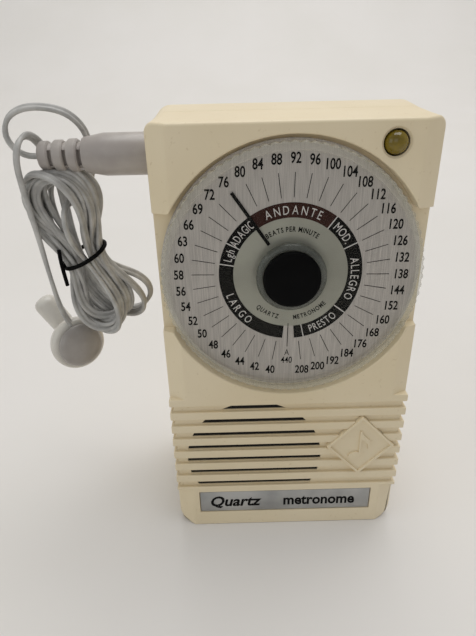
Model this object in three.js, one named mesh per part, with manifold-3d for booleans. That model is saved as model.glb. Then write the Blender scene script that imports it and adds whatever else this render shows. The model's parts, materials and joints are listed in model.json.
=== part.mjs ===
// Pocket metronome: a wedge-shaped plastic case with a turning tempo dial, a lamp, a small
// loudspeaker, a 9 V battery and an earphone that hangs by its tied-up lead from the jack.
// Millimetres, +Z up. The case stands on Z = 0 and its front looks towards -Y.

import * as THREE from 'three';
import { mergeVertices } from 'three/addons/utils/BufferGeometryUtils.js';
import Module from 'manifold-3d';

const wasm = await Module();
wasm.setup();

// ---------- driving dimensions ----------

const gap = 0.3; // between pieces that rest on each other
const wall = 2;
const caseWidth = 64;
const caseHeight = 113.2;
const caseDepth = 39; // at the bottom
const lean = THREE.MathUtils.degToRad(8); // how far the front leans back
const topFrontRadius = 1.8;
const topRearRadius = 4;
const bottomRadius = 6;

// Depths measured square to the leaning front, from the printed face of the scale.
const frontLevel = -3.5; // the raised blocks
const floorLevel = 1; // the round pocket behind the dial
const seamLevel = 9; // where the two shells meet
const boardLevel = 12.5;

const dialHeight = 78.24;
const dialDepth = -caseDepth / 2 + (dialHeight * Math.sin(lean) - frontLevel) / Math.cos(lean);
const pocketRadius = 32.2;
const wheelRadius = 31;
const notchTop = 14.5;
const notchBottom = -13.75;

const bevelWidth = 4.5;
const bevelDepth = 2.2;
const ribsTop = -33.6;
const ribPitch = 4.42;
const ribCount = 7;
const grooveHeight = 1.75;
const grooveDepth = 1.4;
const slotHeight = 0.9;
const speaker = { x: -9.3, z: -53, radius: 18.2 };
const slotRadius = 19;

const lamp = { x: 21.3, z: 30, radius: 2.5 };
const namePlate = { x: -0.3, z: -70.3, width: 50.3, height: 7.5 };
const emblem = { x: 20.5, z: -50.3, halfWidth: 9.4, halfHeight: 9.9 };

const jack = { y: 8.8, z: 104.2, radius: 3, bore: 1.95 };
const modeSwitch = { y: 9.5, z: 88, travel: 5 };
const door = { halfWidth: 26.7, low: 3.2, high: 29.8, thickness: 1.8, play: 0.3 };
const battery = { x: -3, y: 8.9, z: 15.6, length: 48.5, depth: 17, height: 26 };
const caseScrews = [[-11, 107.8], [11, 107.8], [-27.2, 38], [27.2, 38]];
const board = { left: -28, right: 21.5, low: -30, high: 20.5, thickness: 1.6 };
const boardScrews = [[-23, 15], [18, 15], [-23, -25], [18, -25]];

const cordWidth = 2.3; // a flat twin lead

// ---------- materials ----------

const finish = (color, roughness, metalness = 0) =>
  new THREE.MeshStandardMaterial({ color, roughness, metalness });
const creamPlastic = finish(0xd6c9a6, 0.45);
const clearPlastic = finish(0xe6e8e4, 0.08);
const blackPlastic = finish(0x101010, 0.35);
const greyPlastic = finish(0xa59e98, 0.4);
const greyCable = finish(0x979693, 0.45);
const amberPlastic = finish(0x8a7410, 0.15);
const silverPrint = finish(0xa6a29a, 0.5, 0.3);
const steel = finish(0xb4b4b4, 0.35, 1);
const brightMetal = finish(0xd2d0c8, 0.2, 1);
const boardGreen = finish(0x2c5a34, 0.6);
const paperCone = finish(0x2a2622, 0.9);

// ---------- geometry helpers ----------

// One closed body: shared corners merged, no flat triangles, faces pointing out.
function closed(geometry) {
  geometry.deleteAttribute('normal');
  geometry.deleteAttribute('uv');
  const merged = mergeVertices(geometry, 1e-4);
  const place = merged.getAttribute('position');
  const corner = [0, 1, 2].map(() => new THREE.Vector3());
  let volume = 0;
  const kept = [];
  for (let i = 0; i < merged.index.count; i += 3) {
    const [a, b, c] = [0, 1, 2].map((k) => merged.index.getX(i + k));
    if (a === b || b === c || c === a) continue;
    [a, b, c].forEach((n, k) => corner[k].fromBufferAttribute(place, n));
    volume += corner[0].dot(corner[1].clone().cross(corner[2]));
    kept.push(a, b, c);
  }
  if (volume < 0) kept.reverse();
  merged.setIndex(kept);
  return merged;
}

function toSolid(geometry) {
  const ready = closed(geometry);
  const vertProperties = new Float32Array(ready.getAttribute('position').array);
  const triVerts = new Uint32Array(ready.index.array);
  return new wasm.Manifold(new wasm.Mesh({ numProp: 3, vertProperties, triVerts }));
}

function toGeometry(manifold) {
  const mesh = manifold.getMesh();
  const geometry = new THREE.BufferGeometry();
  geometry.setAttribute('position', new THREE.BufferAttribute(mesh.vertProperties, 3));
  geometry.setIndex(new THREE.BufferAttribute(mesh.triVerts, 1));
  return geometry;
}

const subtractAll = (body, cutters) => cutters.reduce((left, cut) => left.subtract(cut), body);
const addAll = (body, extras) => extras.reduce((sum, extra) => sum.add(extra), body);

// A box between two corners.
function block(x0, x1, y0, y1, z0, z1) {
  return new THREE.BoxGeometry(x1 - x0, y1 - y0, z1 - z0)
    .translate((x0 + x1) / 2, (y0 + y1) / 2, (z0 + z1) / 2);
}

// An outline drawn in X and Z, filled from one depth in Y to another.
function slab(shape, y0, y1, curveSegments = 8) {
  return new THREE.ExtrudeGeometry(shape, { depth: y1 - y0, bevelEnabled: false, curveSegments })
    .rotateX(Math.PI / 2)
    .translate(0, y1, 0);
}

// A profile of [radius, distance along the axis] turned about Y.
function turned(profile, segments = 48) {
  return new THREE.LatheGeometry(profile.map(([r, y]) => new THREE.Vector2(r, y)), segments);
}

// The same about X, with the distance counted towards -X.
const turnedLeft = (profile, segments = 24) => turned(profile, segments).rotateZ(Math.PI / 2);

const disc = (radius, y0, y1, segments = 36) =>
  turned([[0, y0], [radius, y0], [radius, y1], [0, y1]], segments);

const ring = (inner, outer, y0, y1, segments = 48) =>
  turned([[inner, y0], [outer, y0], [outer, y1], [inner, y1], [inner, y0]], segments);

function outline(points) {
  return new THREE.Shape(points.map(([x, z]) => new THREE.Vector2(x, z)));
}

// An upright rectangle with its own corner radius at the top and at the bottom.
function roundedOutline(x0, x1, z0, z1, top, bottom) {
  const shape = new THREE.Shape();
  shape.moveTo(x0 + bottom, z0);
  shape.absarc(x1 - bottom, z0 + bottom, bottom, -Math.PI / 2, 0);
  shape.absarc(x1 - top, z1 - top, top, 0, Math.PI / 2);
  shape.absarc(x0 + top, z1 - top, top, Math.PI / 2, Math.PI);
  shape.absarc(x0 + bottom, z0 + bottom, bottom, Math.PI, Math.PI * 1.5);
  return shape;
}

// ---------- the leaning front ----------

const metronome = new THREE.Group();
const front = new THREE.Group();
front.position.set(0, dialDepth, dialHeight);
front.rotation.x = -lean;
metronome.add(front);
front.updateMatrix();
const onFront = (geometry) => geometry.applyMatrix4(front.matrix);
const frontSolid = (geometry) => toSolid(onFront(geometry));

function add(parent, name, geometry, material, x = 0, y = 0, z = 0) {
  const mesh = new THREE.Mesh(closed(geometry), material);
  mesh.name = name;
  mesh.position.set(x, y, z);
  parent.add(mesh);
  return mesh;
}

// ---------- case shells ----------

const far = 80; // past every side of the case

function caseSolid(topRadius, inset, y0, y1) {
  const half = caseWidth / 2 - inset;
  const shape = roundedOutline(
    -half, half, inset, caseHeight - inset,
    Math.max(topRadius - inset, 0.6), bottomRadius - inset,
  );
  return toSolid(slab(shape, y0, y1));
}

const betweenLevels = (low, high) => frontSolid(block(-far, far, low, high, -far * 2, far));

function inwardPost(x, z, radius, y0, y1) {
  return toSolid(disc(radius, y0, y1, 20).translate(x, 0, z));
}

function grooveHeights() {
  return Array.from({ length: ribCount }, (_, i) => ribsTop - 2.2 - i * ribPitch);
}

function bevelCutters() {
  const reach = bevelWidth + 2;
  const profile = outline([[0, 0], [reach, (bevelDepth * reach) / bevelWidth], [reach, -9], [0, -9]]);
  const ribsBottom = ribsTop - ribPitch * ribCount - 0.4;
  const stretches = [[notchTop, far], [ribsTop, notchBottom], [-far * 2, ribsBottom]];
  return stretches.flatMap(([low, high]) => [1, -1].map((side) => {
    const wedge = new THREE.ExtrudeGeometry(profile, { depth: high - low, bevelEnabled: false });
    wedge.translate(caseWidth / 2 - bevelWidth, frontLevel, low);
    return frontSolid(side > 0 ? wedge : wedge.scale(-1, 1, 1));
  }));
}

function ribCutters() {
  return grooveHeights().flatMap((top) => {
    const low = top - grooveHeight;
    const half = Math.sqrt(Math.max(slotRadius ** 2 - (top - speaker.z) ** 2, 4));
    return [
      frontSolid(block(-far, far, frontLevel - 9, frontLevel + grooveDepth, low, top)),
      frontSolid(block(-far, 1 - caseWidth / 2, frontLevel - 9, seamLevel - 1.5, low, top)),
      frontSolid(block(caseWidth / 2 - 1, far, frontLevel - 9, seamLevel - 1.5, low, top)),
      frontSolid(block(speaker.x - half, speaker.x + half, frontLevel, 2, top - slotHeight, top)),
    ];
  });
}

const diamond = (grow) => outline([
  [emblem.x - emblem.halfWidth - grow, emblem.z], [emblem.x, emblem.z - emblem.halfHeight - grow],
  [emblem.x + emblem.halfWidth + grow, emblem.z], [emblem.x, emblem.z + emblem.halfHeight + grow],
]);

function frontDetailCutters() {
  const plate = namePlate;
  return [
    frontSolid(disc(pocketRadius, frontLevel - 9, floorLevel, 72)),
    frontSolid(block(-far, far, frontLevel - 9, floorLevel, notchBottom, notchTop)),
    frontSolid(disc(4.3, 0, wall + 2, 32)),
    frontSolid(disc(lamp.radius + gap, frontLevel - 1, wall + 4, 32).translate(lamp.x, 0, lamp.z)),
    frontSolid(disc(3.5, frontLevel - 1, frontLevel + 0.6, 32).translate(lamp.x, 0, lamp.z)),
    frontSolid(block(
      plate.x - plate.width / 2 - gap, plate.x + plate.width / 2 + gap, frontLevel - 1, frontLevel + 0.9,
      plate.z - plate.height / 2 - gap, plate.z + plate.height / 2 + gap,
    )),
    frontSolid(slab(diamond(0.4), frontLevel - 1, frontLevel + grooveDepth)),
  ];
}

function frontShell() {
  const skin = caseSolid(topFrontRadius, 0, -far, far).intersect(betweenLevels(frontLevel, seamLevel - gap / 2));
  const behindFloor = caseSolid(topFrontRadius, wall, -far, far)
    .intersect(betweenLevels(floorLevel + wall, seamLevel + 1));
  const behindRibs = frontSolid(block(-29.2, 29.2, -0.4, floorLevel + wall + 1, -74.6, -34.6));
  const hollow = subtractAll(skin, [behindFloor, behindRibs]);
  const posts = [
    ...boardScrews.map(([x, z]) =>
      frontSolid(disc(2.6, floorLevel + 1.5, boardLevel - gap, 20).translate(x, 0, z))),
    ...caseScrews.map(([x, z]) =>
      inwardPost(x, z, 3, -far, far).intersect(betweenLevels(floorLevel + 1.5, seamLevel - gap / 2))),
  ];
  const holes = [
    ...boardScrews.map(([x, z]) =>
      frontSolid(disc(1.3, floorLevel + 3, far, 16).translate(x, 0, z))),
    ...caseScrews.map(([x, z]) =>
      inwardPost(x, z, 1.5, -far, far).intersect(betweenLevels(floorLevel + 3, far))),
    jackHole(),
  ];
  return subtractAll(addAll(hollow, posts), [
    ...frontDetailCutters(), ...bevelCutters(), ...ribCutters(), ...holes,
  ]);
}

const jackHole = () =>
  toSolid(turnedLeft([[0, 25], [jack.radius + gap, 25], [jack.radius + gap, 40], [0, 40]])
    .translate(0, jack.y, jack.z));

function rearShell() {
  const back = caseDepth / 2;
  const behindSeam = betweenLevels(seamLevel + gap / 2, far * 2);
  const skin = caseSolid(topRearRadius, 0, -far, back).intersect(behindSeam);
  const hollow = skin.subtract(caseSolid(topRearRadius, wall, -far, back - wall));
  const shelf = toSolid(block(-31, 31, -1, back - 1, 30.6, 31.8)).intersect(behindSeam);
  const posts = caseScrews.map(([x, z]) => inwardPost(x, z, 3, -far, back - 1).intersect(behindSeam));
  const holes = [
    ...caseScrews.map(([x, z]) => inwardPost(x, z, 1.5, -far, far)),
    ...caseScrews.map(([x, z]) => inwardPost(x, z, 2.6, back - 2.2, far)),
    toSolid(block(
      -door.halfWidth - door.play, door.halfWidth + door.play, back - wall - 1, far,
      door.low - door.play, door.high + door.play,
    )),
    toSolid(block(
      28, far, modeSwitch.y - 1.8, modeSwitch.y + 1.8,
      modeSwitch.z - 2.3, modeSwitch.z + modeSwitch.travel + 2.3,
    )),
    jackHole(),
  ];
  return subtractAll(addAll(hollow, [shelf, ...posts]), holes);
}

// A flap that swings on a round lower edge.
function batteryDoor() {
  const round = door.thickness / 2;
  const shape = new THREE.Shape();
  shape.moveTo(-round, door.high - door.low - round);
  shape.absarc(0, 0, round, Math.PI, Math.PI * 2);
  shape.lineTo(round, door.high - door.low - round);
  return new THREE.ExtrudeGeometry(shape, { depth: door.halfWidth * 2, bevelEnabled: false })
    .rotateX(Math.PI / 2)
    .rotateZ(Math.PI / 2)
    .translate(-door.halfWidth, caseDepth / 2 - round, door.low + round);
}

add(metronome, 'front_shell', toGeometry(frontShell()), creamPlastic);
add(metronome, 'rear_shell', toGeometry(rearShell()), creamPlastic);
add(metronome, 'battery_door', batteryDoor(), creamPlastic);

caseScrews.forEach(([x, z], i) => {
  const back = caseDepth / 2;
  const screw = turned([
    [0, back - 14], [1.2, back - 14], [1.2, back - 2], [2.3, back - 2], [2.3, back - 0.5], [0, back - 0.5],
  ], 16);
  add(metronome, `case_screw_${i + 1}`, screw, steel, x, 0, z);
});

// ---------- dial ----------

function dialWheel() {
  const web = [-1.9, -0.4];
  const profile = [
    [3.3, web[1]], [wheelRadius, web[1]], [wheelRadius, -3.9], [29.2, -3.9], [28.6, web[0]],
    [8.4, web[0]], [7.4, -3], [3.3, -3], [3.3, web[1]],
  ];
  return turned(profile, 72);
}

add(front, 'scale_plate', ring(4.3, 31.4, 0, 0.7), silverPrint);
add(front, 'dial_wheel', dialWheel(), clearPlastic);
add(front, 'hub_cap', turned([[0, -4.5], [6.4, -4.5], [6.9, -4], [6.9, -3.3], [0, -3.3]]), blackPlastic);
add(front, 'dial_shaft', disc(3, -2.7, 11.6, 24), steel);

function tempoSwitch() {
  return turned([[3.3, 0.8], [4, 0.8], [4, 3.3], [11, 3.3], [11, 9.5], [3.3, 9.5], [3.3, 0.8]], 24);
}
add(front, 'tempo_switch_body', tempoSwitch(), blackPlastic);

// ---------- face trim and lamp ----------

function slabAt(centre, width, height, y0, y1) {
  return block(
    centre.x - width / 2, centre.x + width / 2, y0, y1, centre.z - height / 2, centre.z + height / 2,
  );
}

add(front, 'name_plate', slabAt(namePlate, namePlate.width, namePlate.height, -3.35, -2.9), silverPrint);
add(front, 'emblem_tile', slab(diamond(0), -4, frontLevel + grooveDepth - gap), creamPlastic);

function lampBody() {
  const tip = -5.1;
  const domeSteps = 4;
  const dome = Array.from({ length: domeSteps + 1 }, (_, i) => {
    const turn = (i / domeSteps) * (Math.PI / 2);
    return [lamp.radius * Math.sin(turn), tip + lamp.radius * (1 - Math.cos(turn))];
  });
  return turned([...dome, [lamp.radius, 3.4], [2.95, 3.4], [2.95, 4.6], [0, 4.6]], 20);
}
add(front, 'lamp', lampBody(), amberPlastic, lamp.x, 0, lamp.z);
[-1.27, 1.27].forEach((side, i) => {
  const leg = block(-0.25, 0.25, 4.9, 9, -0.25, 0.25);
  add(front, `lamp_leg_${i + 1}`, leg, brightMetal, lamp.x + side, 0, lamp.z);
});

// ---------- loudspeaker ----------

function speakerBasket() {
  const r = speaker.radius;
  return turned([
    [r - 2.2, 0], [r, 0], [r, 1.2], [9.5, 6], [3, 6], [3, 5.2], [9, 5.2], [r - 2.2, 1.4], [r - 2.2, 0],
  ], 28);
}

function speakerCone() {
  const r = speaker.radius - 2.5;
  return turned([[0, 3], [3.4, 4.2], [r, 0.3], [r, 0.8], [3.4, 4.8], [0, 3.6]], 28);
}

add(front, 'speaker_basket', speakerBasket(), steel, speaker.x, 0, speaker.z);
add(front, 'speaker_cone', speakerCone(), paperCone, speaker.x, 0, speaker.z);
add(front, 'speaker_magnet', disc(8, 6.3, 9.3, 32), steel, speaker.x, 0, speaker.z);

// ---------- circuit board ----------

const boardFace = boardLevel + board.thickness + gap; // where parts stand on the board

function mainBoard() {
  const plate = block(
    board.left, board.right, boardLevel, boardLevel + board.thickness, board.low, board.high,
  );
  return toGeometry(subtractAll(toSolid(plate), boardScrews.map(([x, z]) =>
    toSolid(disc(1.5, 0, far, 16).translate(x, 0, z)))));
}
add(front, 'main_board', mainBoard(), boardGreen);

boardScrews.forEach(([x, z], i) => {
  const screw = turned([
    [0, 7], [1, 7], [1, boardFace], [2.3, boardFace], [2.3, boardFace + 1.3], [0, boardFace + 1.3],
  ], 16);
  add(front, `board_screw_${i + 1}`, screw, steel, x, 0, z);
});

add(front, 'timer_chip', block(-2, 17, boardFace, boardFace + 3, -7, -0.6), blackPlastic);
add(front, 'quartz_crystal', block(-14, -3.5, boardFace, boardFace + 3.4, -18, -14.2), brightMetal);
add(front, 'filter_capacitor', disc(3, boardFace, boardFace + 5, 24), blackPlastic, -12, 0, 2);
add(front, 'tone_transistor', disc(2.2, boardFace, boardFace + 4, 20), blackPlastic, 10, 0, -18);
for (let i = 0; i < 4; i += 1) {
  const resistor = block(-3, 3, boardFace, boardFace + 2.2, -1.1, 1.1);
  add(front, `resistor_${i + 1}`, resistor, boardGreen, -14 + i * 8, 0, 13);
}

// ---------- battery ----------

const batteryEnd = battery.x + battery.length / 2;

function batteryBody() {
  const { y, z, depth, height } = battery;
  const shape = roundedOutline(-depth / 2, depth / 2, -height / 2, height / 2, 2, 2);
  return new THREE.ExtrudeGeometry(shape, { depth: battery.length, bevelEnabled: false, curveSegments: 4 })
    .rotateX(Math.PI / 2)
    .rotateZ(Math.PI / 2)
    .translate(batteryEnd - battery.length, y, z);
}
add(metronome, 'battery', batteryBody(), blackPlastic);
[-6.4, 6.4].forEach((side, i) => {
  const stud = turnedLeft([[0, 0], [2.8, 0], [2.8, 2], [0, 2]], 20)
    .translate(batteryEnd + gap + 2, battery.y, battery.z + side);
  add(metronome, `battery_stud_${i + 1}`, stud, brightMetal);
});
add(metronome, 'battery_clip', block(
  batteryEnd + 2 + gap * 2, batteryEnd + 5.5, battery.y - 5, battery.y + 5, battery.z - 11, battery.z + 11,
), blackPlastic);

// ---------- jack and mode switch ----------

const side = caseWidth / 2;
const bodyStart = side - wall - gap;

add(metronome, 'earphone_jack', turnedLeft([
  [jack.bore, side], [jack.radius, side], [jack.radius, bodyStart], [4.5, bodyStart], [4.5, 15], [0, 15],
  [0, 16], [jack.bore, 16], [jack.bore, side],
]), blackPlastic, 0, jack.y, jack.z);

add(metronome, 'mode_switch_body', block(
  22, 27.4, modeSwitch.y - 4, modeSwitch.y + 4, modeSwitch.z - 4.5, modeSwitch.z + 9.5,
), steel);
add(metronome, 'mode_switch_knob', block(
  27.7, 31.9, modeSwitch.y - 1.5, modeSwitch.y + 1.5, modeSwitch.z - 2, modeSwitch.z + 2,
), blackPlastic);

// ---------- plug ----------

const plugFace = side + 0.4;
const plugEnd = side + 16.3;
const reliefEnd = plugEnd + gap + 10.1;

add(metronome, 'plug_pin', turnedLeft([
  [0, 17], [1, 17.4], [1.75, 19], [1.2, 20.4], [1.75, 21.4], [1.75, plugFace + 4.5], [0, plugFace + 4.5],
], 24), brightMetal, 0, jack.y, jack.z);

add(metronome, 'plug_body', turnedLeft([
  [2.05, plugFace], [4.6, plugFace], [4.85, plugFace + 0.4], [4.85, plugFace + 11], [3.95, plugEnd],
  [0, plugEnd], [0, plugFace + 4.8], [2.05, plugFace + 4.8], [2.05, plugFace],
]), greyPlastic, 0, jack.y, jack.z);

function strainRelief() {
  const start = plugEnd + gap;
  const ribs = [0, 1, 2].flatMap((i) => {
    const at = start + i * 3.4;
    const radius = 3.75 - i * 0.2;
    return [[1.9, at], [1.9, at + 0.9], [radius, at + 0.9], [radius - 0.1, at + 3.3], [1.9, at + 3.3]];
  });
  return turnedLeft([[0, start], ...ribs, [0, reliefEnd + 0.1]].filter(distinct), 20);
}
const distinct = ([r, y], i, all) => i === 0 || r !== all[i - 1][0] || y !== all[i - 1][1];
add(metronome, 'strain_relief', strainRelief(), greyPlastic, 0, jack.y, jack.z);

// ---------- cord ----------

// From the plug round one springy loop above it, and down behind it to the hank.
const loopRoute = [
  [-59.1, 8.8, 104.2], [-60.8, 8.8, 104.2], [-62.8, 8.8, 104.8], [-64.5, 8.9, 106.2], [-65.5, 9.0, 108.1],
  [-65.5, 9.2, 110.3], [-64.6, 9.4, 112.3], [-62.9, 9.7, 113.7], [-60.7, 10.1, 114.5], [-58.2, 10.6, 114.7],
  [-55.6, 11.2, 114.4], [-52.7, 12.2, 113.4], [-50.4, 13.5, 111.3], [-49.1, 14.9, 108.4], [-48.8, 15.9, 104.8],
  [-49.1, 16.2, 100.8], [-49.6, 15.7, 96.6], [-50.3, 14.9, 92.6], [-51.4, 14.3, 89.0],
];

// From the top of the hank over the stub of the plug's lead, and straight down to the earphone.
const dropRoute = [
  [-57.2, 12.2, 99.0], [-58.3, 13.8, 101.0], [-59.4, 14.6, 103.3], [-60.3, 14.0, 105.9], [-61.0, 12.0, 107.9],
  [-61.6, 9.3, 108.7], [-62.1, 6.6, 107.9], [-62.5, 4.8, 105.9], [-62.8, 4.1, 103.2], [-63.0, 4.3, 99.4],
  [-63.2, 5.0, 94.5], [-63.2, 5.7, 89.0], [-63.1, 6.1, 83.0], [-63.0, 6.2, 77.0], [-62.8, 6.3, 71.0],
  [-62.5, 6.5, 65.0], [-62.1, 6.9, 60.6],
];

function cordTube(route) {
  const path = new THREE.CatmullRomCurve3(route.map((p) => new THREE.Vector3(...p)), false, 'centripetal');
  const section = new THREE.Shape();
  for (let i = 0; i < 8; i += 1) {
    const turn = (i / 8) * Math.PI * 2;
    const [x, y] = [Math.cos(turn), Math.sin(turn)].map((v) => (v * cordWidth) / 2);
    if (i === 0) section.moveTo(x, y);
    else section.lineTo(x, y);
  }
  const steps = Math.round(path.getLength() / (cordWidth * 1.3));
  return new THREE.ExtrudeGeometry(section, { steps, bevelEnabled: false, extrudePath: path });
}

const hank = { x: -53.2, y: 9.2, z: 76.8, length: 42, width: 12.4, thickness: 8, tilt: 0.12 };

function stadium(width, length) {
  const r = width / 2;
  const shape = new THREE.Shape();
  shape.absarc(0, length / 2 - r, r, 0, Math.PI);
  shape.absarc(0, r - length / 2, r, Math.PI, Math.PI * 2);
  return shape;
}

const tilted = (geometry) => geometry.rotateY(-hank.tilt).translate(hank.x, hank.y, hank.z);

function tie() {
  const half = { x: hank.width / 2, y: hank.thickness / 2 };
  const shape = outline([
    [-half.x - 1.2, -half.y - 1.2], [half.x + 1.2, -half.y - 1.2],
    [half.x + 1.2, half.y + 1.2], [-half.x - 1.2, half.y + 1.2],
  ]);
  shape.holes.push(new THREE.Path([
    [-half.x - gap, -half.y - gap], [-half.x - gap, half.y + gap],
    [half.x + gap, half.y + gap], [half.x + gap, -half.y - gap],
  ].map(([x, y]) => new THREE.Vector2(x, y))));
  return new THREE.ExtrudeGeometry(shape, { depth: 1.4, bevelEnabled: false });
}

add(metronome, 'cord_loop', cordTube(loopRoute), greyCable);
add(metronome, 'cord_hank', tilted(slab(stadium(hank.width, hank.length), -hank.thickness / 2,
  hank.thickness / 2, 8)), greyCable);
add(metronome, 'cord_tie', tilted(tie()), blackPlastic);
add(metronome, 'cord_drop', cordTube(dropRoute), greyCable);

// ---------- earphone ----------

// The capsule's axis points out of its cap; the ear tube is canted up and back from its rim.
const capsule = { place: new THREE.Vector3(-59.0, 5.8, 50.9), axis: new THREE.Vector3(0.6, -0.78, 0.19) };
const earTube = { from: new THREE.Vector3(-66.9, 12.4, 57.4), to: new THREE.Vector3(-69.6, 13.2, 61.4) };

// Moves a piece turned about Y so that its Y axis points along a direction from a place.
function along(geometry, place, direction) {
  const turn = new THREE.Quaternion().setFromUnitVectors(
    new THREE.Vector3(0, 1, 0), direction.clone().normalize());
  return geometry.applyQuaternion(turn).translate(place.x, place.y, place.z);
}

add(metronome, 'earphone_cap', along(turned([
  [0, -0.4], [6.1, -0.4], [6.4, 0.2], [5.6, 1.2], [3.4, 1.9], [0, 2.2],
], 32), capsule.place, capsule.axis), greyPlastic);
add(metronome, 'earphone_shell', along(turned([
  [0, -7.6], [4.6, -7.2], [6.9, -5.4], [7.8, -3], [7.6, -1.2], [6.7, -0.7], [0, -0.7],
], 32), capsule.place, capsule.axis), greyPlastic);
add(metronome, 'earphone_ear_tube', along(turned([
  [0, -1.6], [3, -1.6], [3.1, 4.4], [2.2, 5.8], [0, 6.3],
], 24), earTube.from, earTube.to.clone().sub(earTube.from)), greyPlastic);

export default metronome;
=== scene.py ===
"""Looks of the pocket metronome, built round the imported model.

Lengths are written in millimetres and scaled by MM where a mesh is made. Places on the leaning front
are written as (x, depth, height) from the dial's centre, with the depth square to the front, and FRONT
takes them to the row frame.
"""

import json
import math

import bmesh
import bpy
import numpy as np
from mathutils import Matrix, Vector


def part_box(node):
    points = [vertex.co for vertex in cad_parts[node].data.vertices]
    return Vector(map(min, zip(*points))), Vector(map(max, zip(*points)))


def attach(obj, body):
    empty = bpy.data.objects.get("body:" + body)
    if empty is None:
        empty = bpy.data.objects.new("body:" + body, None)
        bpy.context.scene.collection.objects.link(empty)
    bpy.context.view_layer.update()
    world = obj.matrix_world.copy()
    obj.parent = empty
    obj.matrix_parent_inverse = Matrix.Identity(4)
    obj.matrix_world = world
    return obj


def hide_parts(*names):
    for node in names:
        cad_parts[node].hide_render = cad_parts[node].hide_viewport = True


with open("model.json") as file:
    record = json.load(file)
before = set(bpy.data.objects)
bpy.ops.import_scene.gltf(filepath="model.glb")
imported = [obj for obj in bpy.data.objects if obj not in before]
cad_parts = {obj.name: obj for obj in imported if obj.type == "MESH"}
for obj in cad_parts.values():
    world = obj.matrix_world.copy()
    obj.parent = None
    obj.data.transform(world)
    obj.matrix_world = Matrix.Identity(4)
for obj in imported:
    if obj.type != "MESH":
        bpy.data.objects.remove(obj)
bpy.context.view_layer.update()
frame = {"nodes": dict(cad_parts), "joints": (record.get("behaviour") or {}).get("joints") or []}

MM = 0.001
scene = bpy.context.scene

# ---------- the frame's own places ----------

dial_joint = next(j for j in frame["joints"] if j["name"] == "dial_turn")
DIAL = Vector(dial_joint["pos_m"]) / MM
LEAN = math.atan2(dial_joint["axis"][2], -dial_joint["axis"][1])
FRONT = Matrix.Translation(DIAL) @ Matrix.Rotation(-LEAN, 4, "X")
HALF_WIDTH, BACK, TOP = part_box("rear_shell")[1] / MM
WALL = 2.0


# ---------- meshes ----------

def link(name, mesh):
    obj = bpy.data.objects.new(name, mesh)
    scene.collection.objects.link(obj)
    return obj


def mesh_object(name, points, faces, place):
    """A mesh of points in millimetres, moved by place and then scaled to metres."""
    mesh = bpy.data.meshes.new(name)
    mesh.from_pydata([place @ Vector(p) * MM for p in points], [], faces)
    mesh.validate()
    return link(name, mesh)


def closed_up(obj):
    """Faces made to point outwards."""
    work = bmesh.new()
    work.from_mesh(obj.data)
    bmesh.ops.remove_doubles(work, verts=work.verts, dist=1e-7)
    bmesh.ops.recalc_face_normals(work, faces=work.faces)
    work.to_mesh(obj.data)
    work.free()
    return obj


def skin(name, rings, place=Matrix.Identity(4)):
    """A closed skin through rings of as many points each."""
    n, count = len(rings[0]), len(rings)
    points = [p for ring in rings for p in ring]
    faces = [(k * n + i, k * n + (i + 1) % n, (k + 1) * n + (i + 1) % n, (k + 1) * n + i)
             for k in range(count - 1) for i in range(n)]
    faces += [list(range(n)), list(range(n * count - 1, n * (count - 1) - 1, -1))]
    return closed_up(mesh_object(name, points, faces, place))


def prism(name, outline, y0, y1, place=Matrix.Identity(4)):
    """An outline of (x, z) points, filled from depth y0 to y1."""
    return skin(name, [[(x, y, z) for x, z in outline] for y in (y0, y1)], place)


def upright(name, outline, z0, z1, place):
    """An outline of (x, y) points, filled from height z0 to z1."""
    return skin(name, [[(x, y, z) for x, y in outline] for z in (z0, z1)], place)


def across(name, outline, x0, x1):
    """An outline of (y, z) points, filled from x0 to x1."""
    return skin(name, [[(x, y, z) for y, z in outline] for x in (x0, x1)])


def rectangle(x, z):
    return [(x[0], z[0]), (x[1], z[0]), (x[1], z[1]), (x[0], z[1])]


def box(name, x, y, z, place=Matrix.Identity(4)):
    return prism(name, rectangle(x, z), *y, place)


def turned(name, profile, place, segments=96, radius=lambda r, angle: r):
    """A profile of (radius, distance) turned about the Y axis; radius may vary it round the turn."""
    points, rings = [], []
    for r, y in profile:
        if r == 0:
            rings.append([len(points)] * segments)
            points.append((0, y, 0))
            continue
        rings.append(list(range(len(points), len(points) + segments)))
        for k in range(segments):
            angle = 2 * math.pi * k / segments
            out = radius(r, angle)
            points.append((out * math.cos(angle), y, out * math.sin(angle)))
    faces = []
    for a, b in zip(rings, rings[1:]):
        for k in range(segments):
            m = (k + 1) % segments
            face = [a[k], a[m], b[m], b[k]]
            face = [p for i, p in enumerate(face) if p not in face[:i]]
            if len(face) > 2:
                faces.append(face)
    return closed_up(mesh_object(name, points, faces, place))


def at(x, y, z):
    return Matrix.Translation((x, y, z))


TO_LEFT = Matrix.Rotation(math.pi / 2, 4, "Z")  # turns a profile's axis from +Y to -X


def along(place, direction):
    """Turns a profile's axis to a direction, at a place."""
    turn = Vector((0, 1, 0)).rotation_difference(Vector(direction).normalized())
    return Matrix.Translation(place) @ turn.to_matrix().to_4x4()


def arc(cx, cz, radius, start, end, steps=8):
    """Points of an arc, with angles in degrees counted from +x towards +z."""
    turns = [math.radians(start + (end - start) * i / steps) for i in range(steps + 1)]
    return [(cx + radius * math.cos(t), cz + radius * math.sin(t)) for t in turns]


def rounded(x0, x1, z0, z1, top, bottom):
    """An upright rectangle with one corner radius at the top and one at the bottom."""
    return [
        *arc(x1 - bottom, z0 + bottom, bottom, -90, 0),
        *arc(x1 - top, z1 - top, top, 0, 90),
        *arc(x0 + top, z1 - top, top, 90, 180),
        *arc(x0 + bottom, z0 + bottom, bottom, 180, 270),
    ]


def applied(obj):
    """The object with its modifiers made part of its mesh."""
    graph = bpy.context.evaluated_depsgraph_get()
    graph.update()
    mesh = bpy.data.meshes.new_from_object(obj.evaluated_get(graph))
    obj.modifiers.clear()
    obj.data = mesh
    return obj


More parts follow.
